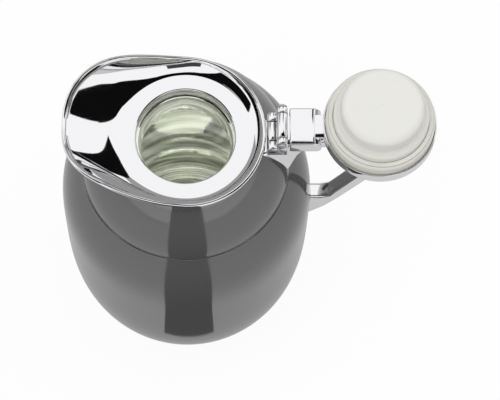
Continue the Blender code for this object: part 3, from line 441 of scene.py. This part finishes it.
def collar_section(angle):
    """Closed (r, height above the mouth ring) section of the collar."""
    rim_r, rim_h = rim_at(angle)
    section = [(MOUTH_R, -TUBE_DROP), (MOUTH_R, -2.0 * MOUTH_EDGE)]
    section += arc((MOUTH_R + MOUTH_EDGE, -MOUTH_EDGE), MOUTH_EDGE, 180.0, 90.0, 7)
    section += [(MOUTH_R + MOUTH_EDGE + (RING_R - MOUTH_R - MOUTH_EDGE) * i / 5, 0.0)
                for i in range(1, 6)]
    section += [(RING_R + (rim_r - RING_R) * i / 22, rim_h * (i / 22) ** FUNNEL_CURVE)
                for i in range(1, 22)]
    section += arc((rim_r, rim_h), BEAD_R, 155.0, -75.0, 14)
    under_r, under_h = section[-1]
    skirt_t = max((SKIRT_R - RING_R) / (rim_r - RING_R), 0.0)
    above = rim_h * min(skirt_t, 1.0) ** FUNNEL_CURVE
    skirt_h = max(above - COLLAR_WALL, -SKIRT_DROP + 0.4 * MM)
    for i in range(1, 11):
        t = i / 10
        r = under_r + (SKIRT_R - under_r) * t
        reach = min(max((r - RING_R) / (rim_r - RING_R), 0.0), 1.0)
        roof = rim_h * reach ** FUNNEL_CURVE - 1.1 * COLLAR_WALL
        line = under_h + (skirt_h - under_h) * t
        section.append((r, skirt_h if i == 10 else min(line, roof)))
    section += [(SKIRT_R, -SKIRT_DROP), (SPIGOT_R, -SKIRT_DROP),
                (SPIGOT_R, COLLAR_LOW.z - MOUTH_Z),
                (SPIGOT_R - COLLAR_WALL, COLLAR_LOW.z - MOUTH_Z),
                (SPIGOT_R - COLLAR_WALL, -COLLAR_WALL), (MOUTH_R + COLLAR_WALL, -COLLAR_WALL),
                (MOUTH_R + COLLAR_WALL, -TUBE_DROP)]
    return section


def make_collar(chrome):
    """Spin the back section, then draw each ring of it out to the spout."""
    bm = bmesh.new()
    rank = bm.verts.layers.int.new("rank")
    verts = []
    for i, (r, h) in enumerate(collar_section(180.0)):
        vert = bm.verts.new((r, 0.0, h))
        vert[rank] = i
        verts.append(vert)
    edges = [bm.edges.new(pair) for pair in zip(verts, verts[1:] + verts[:1])]
    bmesh.ops.spin(bm, geom=verts + edges, axis=(0, 0, 1), cent=(0, 0, 0),
                   angle=2.0 * math.pi, steps=2 * TURN, use_merge=True)
    sections = {}
    for vert in bm.verts:
        turn = math.atan2(vert.co.y, -vert.co.x)
        key = round(abs(math.degrees(turn)), 3)
        if key not in sections:
            sections[key] = collar_section(key)
        r, h = sections[key][vert[rank]]
        vert.co = (-r * math.cos(turn), r * math.sin(turn), MOUTH_Z + h)
    return add_piece("collar_chrome", bm, chrome, "carafe", "chrome", "pouring_collar")


# Flask -----------------------------------------------------------------------------------
def make_flask(glass):
    """Inner wall of the vacuum flask with its rolled lip."""
    wall = 1.5 * MM
    neck_r = 26.5 * MM
    lip_r = 30.7 * MM
    belly_r = FLASK_HIGH.y
    lip_z = FLASK_HIGH.z - 0.5 * (lip_r - neck_r)
    neck_low = MOUTH_Z - 24.0 * MM
    shoulder_h = 32.0 * MM
    dome = 21.5 * MM

    def wall_line(offset):
        points = [(neck_r + offset, neck_low)]
        belly = belly_r - wall + offset
        for i in range(1, 19):
            t = i / 18
            ease = 0.5 - 0.5 * math.cos(math.pi * t)
            points.append((neck_r + offset + (belly - neck_r - offset) * ease,
                           neck_low - shoulder_h * t))
        floor = FLASK_LOW.z + wall - offset
        for i in range(17):
            angle = math.radians(90.0 * i / 16)
            points.append((belly * math.cos(angle), floor + dome * (1.0 - math.sin(angle))))
        points[-1] = (0.0, floor)
        return points

    lip = [(neck_r + wall, lip_z), (lip_r, lip_z)]
    lip += arc((0.5 * (lip_r + neck_r), lip_z), 0.5 * (lip_r - neck_r), 0.0, 180.0, 13)[1:]
    outline = wall_line(wall)[::-1] + lip + wall_line(0.0)
    add_piece("flask_wall", turned(outline), glass, "carafe", "silvered_glass",
              "liner_inner_flask")


# Handle ------------------------------------------------------------------------------------
HANDLE_HALF_W = 5.0 * MM
HANDLE_EDGE = 1.8 * MM
HANDLE_TOP = 3.4 * MM
HANDLE_LOW_DROP = 103.0 * MM
HANDLE_FOOT_H = 12.0 * MM
ROOT_HALF_W = 13.0 * MM
BOW_W = 36.0 * MM
BOW_H = 38.0 * MM
ELBOW_R = 45.0 * MM
HANDLE_LEAN = 25.5
HANDLE_T_TOP = 9.8 * MM
HANDLE_T_LOW = 7.4 * MM
ARM_GAP = 4.2 * MM
SEAT_Z = MOUTH_Z - SKIRT_DROP - 0.6 * MM


def handle_blade():
    """Outer and inner edge points of the bow, the elbow and the lower arm."""
    def station(x, z, normal, share):
        thick = HANDLE_T_TOP + (HANDLE_T_LOW - HANDLE_T_TOP) * share
        return ((x, z), (x - normal[0] * thick, z - normal[1] * thick), HANDLE_HALF_W)

    outermost = HANDLE_HIGH.x
    bow_z = MOUTH_Z + HANDLE_TOP - BOW_H
    stations = []
    for i in range(29):
        turn = math.radians(90.0 - 90.0 * i / 28)
        normal = Vector((math.cos(turn) / BOW_W, math.sin(turn) / BOW_H)).normalized()
        stations.append(station(outermost - BOW_W + BOW_W * math.cos(turn),
                                bow_z + BOW_H * math.sin(turn), normal, 0.4 * i / 28))
    for i in range(1, 13):
        turn = -math.radians(HANDLE_LEAN * i / 12)
        normal = (math.cos(turn), math.sin(turn))
        x = outermost + ELBOW_R * (normal[0] - 1.0)
        stations.append(station(x, bow_z + ELBOW_R * normal[1], normal, 0.4 + 0.2 * i / 12))
    end_z = MOUTH_Z - HANDLE_LOW_DROP + HANDLE_FOOT_H
    start_z = bow_z + ELBOW_R * normal[1]
    for i in range(1, 7):
        z = start_z + (end_z - start_z) * i / 6
        lean = math.tan(math.radians(HANDLE_LEAN)) * (start_z - z)
        stations.append(station(x - lean, z, normal, 0.6 + 0.4 * i / 6))
    return stations


def handle_stations():
    """Pairs of outer and inner edge points, with the half width at each."""
    def below(x, drop):
        return (x, MOUTH_Z - drop * MM)

    step_x = HINGE.x + ARM_GAP - 0.1 * MM
    top = MOUTH_Z + HANDLE_TOP
    root = [
        ((NECK_R - 6.0 * MM, SEAT_Z), below(CREASE_R - 8.0 * MM, 40.0), ROOT_HALF_W),
        ((NECK_R + 5.0 * MM, SEAT_Z), below(CREASE_R - 1.0 * MM, 27.0), 0.75 * ROOT_HALF_W),
        ((step_x - 0.6 * MM, SEAT_Z), below(CREASE_R + 3.0 * MM, 16.5), 1.25 * HANDLE_HALF_W),
        ((step_x, top), below(CREASE_R + 3.5 * MM, 15.8), 1.2 * HANDLE_HALF_W),
        ((HINGE.x + 11.0 * MM, top), below(HINGE.x + 13.0 * MM, 10.5), HANDLE_HALF_W),
    ]
    crotch = MOUTH_Z - HANDLE_LOW_DROP + HANDLE_FOOT_H + 0.9 * MM
    foot = [
        (below(BODY_R + 9.4 * MM, 105.5), (BODY_R + 5.6 * MM, crotch), HANDLE_HALF_W),
        (below(BODY_R + 0.8 * MM, 116.5), (BODY_R - 1.0 * MM, crotch), HANDLE_HALF_W),
        (below(BODY_R - 7.0 * MM, 123.0), (BODY_R - 10.0 * MM, crotch), HANDLE_HALF_W),
    ]
    return root + handle_blade() + foot


def handle_loop(bm, outer, inner, half_w):
    """Rounded-rectangle edge loop across the blade at one station."""
    mid = Vector((0.5 * (outer[0] + inner[0]), 0.0, 0.5 * (outer[1] + inner[1])))
    across = Vector((outer[0] - inner[0], 0.0, outer[1] - inner[1]))
    half_t = 0.5 * across.length
    across.normalize()
    verts = []
    for corner, (sx, sy) in enumerate(((1, 1), (-1, 1), (-1, -1), (1, -1))):
        for k in range(7):
            angle = math.radians(90.0 * corner + 15.0 * k)
            u = sx * (half_t - HANDLE_EDGE) + HANDLE_EDGE * math.cos(angle)
            v = sy * (half_w - HANDLE_EDGE) + HANDLE_EDGE * math.sin(angle)
            verts.append(bm.verts.new(mid + across * u + Vector((0.0, v, 0.0))))
    return [bm.edges.new(pair) for pair in zip(verts, verts[1:] + verts[:1])]


def make_handle(chrome):
    bm = bmesh.new()
    loops = [handle_loop(bm, *station) for station in handle_stations()]
    for low, high in zip(loops, loops[1:]):
        bmesh.ops.bridge_loops(bm, edges=low + high)
    for end in (loops[0], loops[-1]):
        bmesh.ops.edgeloop_fill(bm, edges=end)
    low = MOUTH_Z - HANDLE_LOW_DROP - 40.0 * MM
    heights = [NECK_TOP - (NECK_TOP - low) * i / 60 for i in range(61)]
    outline = [(0.0, MOUTH_Z + MM), (SKIRT_R + FIT, MOUTH_Z + MM),
               (SKIRT_R + FIT, MOUTH_Z - SKIRT_DROP)]
    outline += [(casing_radius(z) + FIT, z) for z in heights]
    outline.append((0.0, low))
    carved = joined(bm, [turned(outline)], "DIFFERENCE")
    add_piece("handle_chrome", carved, chrome, "carafe", "chrome", "handle")


# Hinge -------------------------------------------------------------------------------------
def make_bracket(chrome):
    """Fixed hinge half: plate, three-lobed front and the two ears that hold the pin."""
    top = MOUTH_Z + BRACKET_TOP
    right = BRACKET_HIGH.x
    half_w = BRACKET_HIGH.y
    lobe_x = RIM_R + 4.9 * MM
    lobe_z = MOUTH_Z + 5.2 * MM
    left = BRACKET_LOW.x
    low = BRACKET_LOW.z
    plate = block(((left, low), (right, low), (right, top), (left, top)), half_w, 0.5 * MM)
    split = LOBE_HALF_W + LOBE_SPLIT
    parts = [barrel(LOBE_R, -LOBE_HALF_W, LOBE_HALF_W, lobe_x, lobe_z),
             barrel(LOBE_R, split, half_w, lobe_x, lobe_z),
             barrel(LOBE_R, -half_w, -split, lobe_x, lobe_z)]
    crown = arc((HINGE.x, HINGE.z), right - HINGE.x, 0.0, 180.0, 25)
    ear = [(right, top - MM)] + crown + [(2.0 * HINGE.x - right, top - MM)]
    for side in (-1.0, 1.0):
        bm = block(ear, 0.5 * EAR_T, 0.4 * MM)
        bmesh.ops.translate(bm, verts=bm.verts,
                            vec=(0.0, side * (half_w - 0.5 * EAR_T), 0.0))
        parts.append(bm)
    bracket = joined(plate, parts)
    bores = [barrel(PIN_BORE_R, -2.0 * half_w, 2.0 * half_w, HINGE.x, HINGE.z, 0.01 * MM)]
    add_piece("bracket_chrome", joined(bracket, bores, "DIFFERENCE"), chrome, "carafe",
              "chrome", "hinge_bracket")


def make_arm(chrome):
    """Arm block with its knuckle and the tongue that grips the lid."""
    face = HINGE.x + ARM_GAP
    knuckle_r = HINGE.x - ARM_LOW.x
    low = ARM_LOW.z
    top = MOUTH_Z + ARM_TOP
    end = SHELL_LOW.x - 0.5 * MM
    corner = arc((end - ARM_NOSE_R, top - ARM_NOSE_R), ARM_NOSE_R, 90.0, 0.0, 13)
    body = block([(face, low), (face, top)] + corner + [(end, low + 2.0 * MM),
                 (end - 2.0 * MM, low)], ARM_HIGH.y, 0.9 * MM, 4)
    web_top = top - 1.4 * MM
    web_low = HINGE.z - 0.8 * knuckle_r
    web = block(((HINGE.x, web_low), (face + 2.0 * MM, web_low), (face + 2.0 * MM, web_top),
                 (HINGE.x, web_top)), KNUCKLE_HALF_W)
    knuckle = barrel(knuckle_r, -KNUCKLE_HALF_W, KNUCKLE_HALF_W, HINGE.x, HINGE.z)
    tongue_top = FLANGE_LOW.z - FIT
    tongue_low = tongue_top - TONGUE_T
    tongue = block(((end - 4.0 * MM, tongue_low), (ARM_HIGH.x, tongue_low),
                    (ARM_HIGH.x, tongue_top), (end - 4.0 * MM, tongue_top)),
                   TONGUE_HALF_W, 0.3 * MM)
    arm = joined(body, [web, knuckle, tongue])
    reach = 2.0 * KNUCKLE_HALF_W
    bore = barrel(PIN_BORE_R, -reach, reach, HINGE.x, HINGE.z, 0.01 * MM)
    add_piece("arm_chrome", joined(arm, [bore], "DIFFERENCE"), chrome, "lid", "chrome",
              "lid_arm")


# Lid ----------------------------------------------------------------------------------------
def lid_piece(name, outline, mat, slot, node, closed=False, cuts=()):
    """Turn an outline about the lid's axis, cut it and let it ride on the lid."""
    bm = turned(outline, TURN, (LID_X, 0.0), FACE_Z, closed)
    if cuts:
        bm = joined(bm, cuts, "DIFFERENCE")
    return add_piece(name, bm, mat, "lid", slot, node)


def make_lid_shell(chrome):
    """Domed chrome shell with a rolled edge round the flange."""
    dome_low = SHELL_LOW.z - FACE_Z
    knee = dome_low + SHELL_DOME
    inner_r = SHELL_R - SHELL_WALL
    outer = [(SHELL_R * math.sin(math.radians(90.0 * i / 30)),
              knee - SHELL_DOME * math.cos(math.radians(90.0 * i / 30))) for i in range(31)]
    inner = [(inner_r * math.cos(math.radians(90.0 * i / 20)),
              knee - (SHELL_DOME - SHELL_WALL) * math.sin(math.radians(90.0 * i / 20)))
             for i in range(21)]
    outer[0] = (0.0, dome_low)
    inner[-1] = (0.0, dome_low + SHELL_WALL)
    half = 0.5 * SHELL_WALL
    roll = arc((SHELL_R - half, SHELL_EDGE - half), half, 0.0, 180.0, 9)
    slot_top = FLANGE_LOW.z
    slot_low = slot_top - 3.0 * MM
    left = SHELL_LOW.x - 3.0 * MM
    right = SHELL_LOW.x + 6.0 * MM
    slot = block(((left, slot_low), (right, slot_low), (right, slot_top), (left, slot_top)),
                 TONGUE_HALF_W + FIT)
    lid_piece("lid_shell_chrome", outer + roll + inner, chrome, "chrome", "lid_shell",
              cuts=[slot])


def make_stopper(plastic, silicone):
    """Flange, sealing ring and the stepped plug with its soft-cornered boss."""
    floor = FLANGE_LOW.z - FACE_Z
    outline = [(STOPPER_CORE_R, floor), (FLANGE_R, floor)]
    outline += arc((FLANGE_R - FLANGE_ROUND, -FLANGE_ROUND), FLANGE_ROUND, 0.0, 90.0, 13)
    outline += [(PLUG_R + 2.6 * MM, 0.0), (STOPPER_CORE_R, 0.0)]
    lid_piece("flange_moulding", outline, plastic, "stopper_plastic", "stopper_flange", True)

    ring_in = PLUG_R + FIT
    ring = [(ring_in, 0.3 * MM), (ring_in + 2.2 * MM, 0.3 * MM)]
    ring += arc((ring_in + 1.7 * MM, 0.6 * MM), 0.5 * MM, 0.0, 90.0, 6)
    ring += [(ring_in, 1.1 * MM)]
    lid_piece("gasket_ring", ring, silicone, "silicone", "stopper_gasket", True)

    fillet = 0.8 * MM
    outline = [(0.0, PLUG_BASE), (PLUG_R, PLUG_BASE)]
    outline += arc((PLUG_R - PLUG_ROUND, PLUG_SHOULDER - PLUG_ROUND), PLUG_ROUND, 0.0, 90.0, 13)
    outline += arc((BOSS_R + fillet, PLUG_SHOULDER + fillet), fillet, 270.0, 180.0, 6)
    outline += arc((BOSS_R - BOSS_ROUND, PLUG_TIP - BOSS_ROUND), BOSS_ROUND, 0.0, 90.0, 19)
    dish = 0.35 * MM
    flat_r = BOSS_R - BOSS_ROUND
    outline += [(flat_r * (1.0 - i / 12),
                 PLUG_TIP - dish * math.sin(math.radians(90.0 * i / 12)) ** 2)
                for i in range(1, 12)]
    outline += [(GATE_R, PLUG_TIP - dish), (0.8 * GATE_R, PLUG_TIP - dish + 0.15 * MM),
                (0.0, PLUG_TIP - dish + 0.15 * MM)]
    lid_piece("plug_moulding", outline, plastic, "stopper_plastic", "stopper_plug")


# Fixings and hidden pieces keep their own meshes -----------------------------------------------
def dress_nodes(mats):
    """Give each node that keeps its own mesh the material of its slot."""
    slots = {sub["node"]: sub["material_slot"] for sub in frame["record"]["subparts"]}
    for name, obj in frame["nodes"].items():
        mat = mats[slots[name]]
        obj.data.materials.clear()
        obj.data.materials.append(mat)


# Studio --------------------------------------------------------------------------------------
def ray_share(tree, camera, glossy):
    """A level for rays from the camera or through glass, one for reflections, else 0."""
    path = tree.nodes.new("ShaderNodeLightPath")
    total = None
    for name, level in (("Is Camera Ray", camera), ("Is Transmission Ray", camera),
                        ("Is Glossy Ray", glossy)):
        share = tree.nodes.new("ShaderNodeMath")
        share.operation = "MULTIPLY"
        share.inputs[1].default_value = level
        tree.links.new(path.outputs[name], share.inputs[0])
        if total is None:
            total = share.outputs[0]
            continue
        most = tree.nodes.new("ShaderNodeMath")
        most.operation = "MAXIMUM"
        tree.links.new(total, most.inputs[0])
        tree.links.new(share.outputs[0], most.inputs[1])
        total = most.outputs[0]
    return total


def make_world():
    world = bpy.data.worlds.new("studio")
    world.use_nodes = True
    tree = world.node_tree
    tree.nodes.clear()
    lit = tree.nodes.new("ShaderNodeBackground")
    lit.inputs["Strength"].default_value = 0.80
    seen = tree.nodes.new("ShaderNodeBackground")
    seen.inputs["Strength"].default_value = 1.0
    for node in (lit, seen):
        node.inputs["Color"].default_value = (1.0, 1.0, 1.0, 1.0)
    mix = tree.nodes.new("ShaderNodeMixShader")
    out = tree.nodes.new("ShaderNodeOutputWorld")
    tree.links.new(ray_share(tree, 1.0, 1.0), mix.inputs["Fac"])
    tree.links.new(lit.outputs[0], mix.inputs[1])
    tree.links.new(seen.outputs[0], mix.inputs[2])
    tree.links.new(mix.outputs[0], out.inputs["Surface"])
    bpy.context.scene.world = world


def sheet_mesh(name, corners, mat):
    """Flat four-sided card or floor."""
    bm = bmesh.new()
    bm.faces.new([bm.verts.new(corner) for corner in corners])
    mesh = bpy.data.meshes.new(name)
    bm.to_mesh(mesh)
    bm.free()
    mesh.materials.append(mat)
    obj = bpy.data.objects.new(name, mesh)
    bpy.context.scene.collection.objects.link(obj)
    return obj


def make_floor():
    """White table that keeps a soft shadow."""
    mat = bpy.data.materials.new("table_white")
    mat.use_nodes = True
    tree = mat.node_tree
    tree.nodes.clear()
    matt = tree.nodes.new("ShaderNodeBsdfDiffuse")
    matt.inputs["Color"].default_value = (0.50, 0.50, 0.50, 1.0)
    glow = tree.nodes.new("ShaderNodeEmission")
    glow.inputs["Strength"].default_value = 1.07
    mix = tree.nodes.new("ShaderNodeMixShader")
    out = tree.nodes.new("ShaderNodeOutputMaterial")
    tree.links.new(ray_share(tree, 0.87, 0.28), mix.inputs["Fac"])
    tree.links.new(matt.outputs[0], mix.inputs[1])
    tree.links.new(glow.outputs[0], mix.inputs[2])
    tree.links.new(mix.outputs[0], out.inputs["Surface"])
    reach = 6.0
    sheet_mesh("table_top", ((-reach, -reach, 0.0), (reach, -reach, 0.0),
                             (reach, reach, 0.0), (-reach, reach, 0.0)), mat)


def card_material(name, level):
    """Matt studio card of one grey level."""
    mat = bpy.data.materials.new(name)
    mat.use_nodes = True
    tree = mat.node_tree
    tree.nodes.clear()
    glow = tree.nodes.new("ShaderNodeEmission")
    glow.inputs["Color"].default_value = (level, level, level, 1.0)
    out = tree.nodes.new("ShaderNodeOutputMaterial")
    tree.links.new(glow.outputs[0], out.inputs["Surface"])
    return mat


def seen_in_reflections_only(card):
    card.visible_camera = False
    card.visible_diffuse = False
    card.visible_shadow = False


def make_flag(name, azimuth, elevation, width, height, mat, distance=1.0):
    """Card facing the mouth; azimuth, elevation, width and height in degrees."""
    mouth = Vector((0.0, 0.0, MOUTH_Z))
    az, el = math.radians(azimuth), math.radians(elevation)
    away = Vector((math.cos(el) * math.cos(az), math.cos(el) * math.sin(az), math.sin(el)))
    centre = mouth + away * distance
    facing = (-away).to_track_quat("Z", "Y").to_matrix()
    half_w = distance * math.tan(math.radians(0.5 * width))
    half_h = distance * math.tan(math.radians(0.5 * height))
    corners = [centre + facing @ Vector((sx * half_w, sy * half_h, 0.0))
               for sx, sy in ((-1, -1), (1, -1), (1, 1), (-1, 1))]
    seen_in_reflections_only(sheet_mesh(name, corners, mat))


def make_overhead_flag(name, low, high, height, mat):
    """Level card above the camera, between two (x, y) corners."""
    corners = ((low[0], low[1], height), (high[0], low[1], height),
               (high[0], high[1], height), (low[0], high[1], height))
    seen_in_reflections_only(sheet_mesh(name, corners, mat))


def make_table_strip(name, azimuth, width, near, far, mat):
    """Dark wedge lying on the table, pointing at the carafe; angles in degrees."""
    lift = 2.0 * MM
    corners = []
    for reach, side in ((near, -1.0), (far, -1.0), (far, 1.0), (near, 1.0)):
        angle = math.radians(azimuth + 0.5 * side * width)
        corners.append((reach * math.cos(angle), reach * math.sin(angle), lift))
    seen_in_reflections_only(sheet_mesh(name, corners, mat))


def make_softbox(name, place, towards, size, power):
    light = bpy.data.lights.new(name, "AREA")
    light.shape = "SQUARE"
    light.size = size
    light.energy = power
    obj = bpy.data.objects.new(name, light)
    obj.location = place
    obj.rotation_euler = (Vector(towards) - Vector(place)).to_track_quat("-Z", "Y").to_euler()
    obj.visible_glossy = False
    bpy.context.scene.collection.objects.link(obj)


def make_studio():
    make_world()
    make_floor()
    middle = (0.0, 0.0, 0.5 * MOUTH_Z)
    make_softbox("key_light", (-0.9, -0.7, 1.9), middle, 1.4, 9.0)
    make_softbox("fill_light", (1.2, 0.5, 1.6), middle, 1.4, 4.0)
    black = card_material("card_black", 0.004)
    dark = card_material("card_dark", 0.05)
    grey = card_material("card_grey", 0.34)
    make_flag("flag_right", -20.0, 44.0, 46.0, 64.0, black)
    make_flag("flag_left", 209.0, 42.0, 50.0, 56.0, black)
    make_flag("flag_back_right", 57.0, 30.0, 12.0, 60.0, black, 0.9)
    make_overhead_flag("flag_overhead", (-0.44, -0.95), (0.96, 0.24), 1.5, black)
    make_overhead_flag("flag_overhead_edge", (0.40, 0.24), (1.06, 0.33), 1.5, black)
    make_flag("flag_front_low", 271.0, 3.5, 30.0, 25.0, dark, 1.35)
    make_flag("screen_back", 106.0, 24.0, 82.0, 44.0, grey, 1.1)
    make_table_strip("strip_front", 271.0, 30.0, 0.09, 1.4, dark)


def make_camera():
    data = bpy.data.cameras.new("camera")
    data.sensor_width = 36.0
    data.lens = 167.18
    data.shift_x = 0.0905
    camera = bpy.data.objects.new("camera", data)
    elevation = math.radians(68.58)
    distance = 1.33
    camera.location = (0.01106, -distance * math.cos(elevation),
                       MOUTH_Z + distance * math.sin(elevation))
    camera.rotation_euler = (math.radians(19.84), 0.0, 0.0)
    bpy.context.scene.collection.objects.link(camera)
    bpy.context.scene.camera = camera


def main():
    mats = {
        "body_lacquer": lacquer_material(),
        "chrome": chrome_material(),
        "steel": steel_material(),
        "silvered_glass": flask_material(),
        "stopper_plastic": stopper_material(),
        "silicone": plastic_material("silicone", (0.73, 0.725, 0.67), (0.78, 0.775, 0.73),
                                     0.45, 0.02),
        "insulation": plastic_material("insulation", (0.80, 0.77, 0.68), (0.90, 0.88, 0.80),
                                       0.85, 0.3),
        "base_plastic": plastic_material("base_plastic", (0.035, 0.035, 0.036),
                                         (0.05, 0.05, 0.05), 0.5, 0.1),
        "rubber": plastic_material("rubber", (0.022, 0.022, 0.022), (0.034, 0.034, 0.034),
                                   0.8, 0.2),
    }
    dress_nodes(mats)
    make_casing(mats["body_lacquer"])
    make_collar(mats["chrome"])
    make_flask(mats["silvered_glass"])
    make_handle(mats["chrome"])
    make_bracket(mats["chrome"])
    make_arm(mats["chrome"])
    make_lid_shell(mats["chrome"])
    make_stopper(mats["stopper_plastic"], mats["silicone"])
    make_studio()
    make_camera()
    bpy.context.scene.view_settings.view_transform = "Standard"


main()
